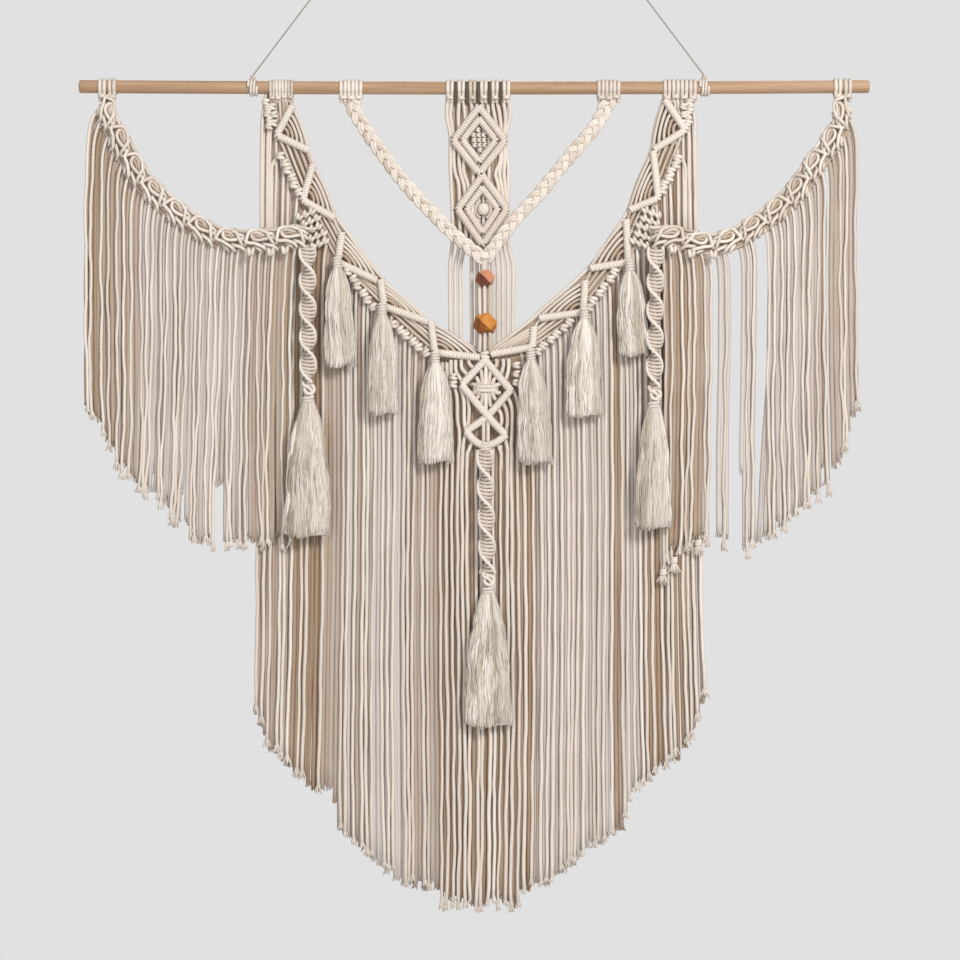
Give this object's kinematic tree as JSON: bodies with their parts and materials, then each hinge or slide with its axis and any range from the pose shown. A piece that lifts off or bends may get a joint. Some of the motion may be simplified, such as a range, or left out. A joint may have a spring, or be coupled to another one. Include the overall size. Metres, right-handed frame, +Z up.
{
  "type": "macrame wall hanging with wooden rod",
  "caption": "Macrame wall hanging on a round wooden rod: scalloped wings, V-shaped garland with long fringe, diamond panel, braided swag with wooden beads, spiral sennits and tassels.",
  "frame": {"origin": "midway between the two nails or hooks that the top loops go over, on the rod's vertical mid plane", "axes": "+X along the rod towards the viewer's right, +Y into the wall, +Z up, against the hang"},
  "size_m": [0.914, 0.0383, 1.0741],
  "materials": {
    "rod_wood": "sanded, lightly oiled",
    "cotton_cord": "natural cotton rope, matte",
    "combed_cotton": "combed out cotton fibre, matte",
    "copper_bead": "stained, satin",
    "amber_bead": "stained, satin",
    "hanging_thread": "twisted thread, matte"
  },
  "bodies": {
    "root": {"rod": "rod_wood", "tie_left": "cotton_cord", "tie_right": "cotton_cord", "thread_left": "hanging_thread", "thread_right": "hanging_thread", "loop_left": "hanging_thread", "loop_right": "hanging_thread", "wing_left": "cotton_cord", "wing_right": "cotton_cord", "vee_curtain": "cotton_cord", "center_panel": "cotton_cord", "swag": "cotton_cord", "bead_small": "copper_bead", "bead_large": "amber_bead", "spiral_left": "cotton_cord", "spiral_center": "cotton_cord", "spiral_right": "cotton_cord", "tassel_left_1": "combed_cotton", "tassel_left_2": "combed_cotton", "tassel_left_3": "combed_cotton", "tassel_right_1": "combed_cotton", "tassel_right_2": "combed_cotton", "tassel_right_3": "combed_cotton", "tassel_spiral_left": "combed_cotton", "tassel_spiral_center": "combed_cotton", "tassel_spiral_right": "combed_cotton"}
  },
  "joints": []
}
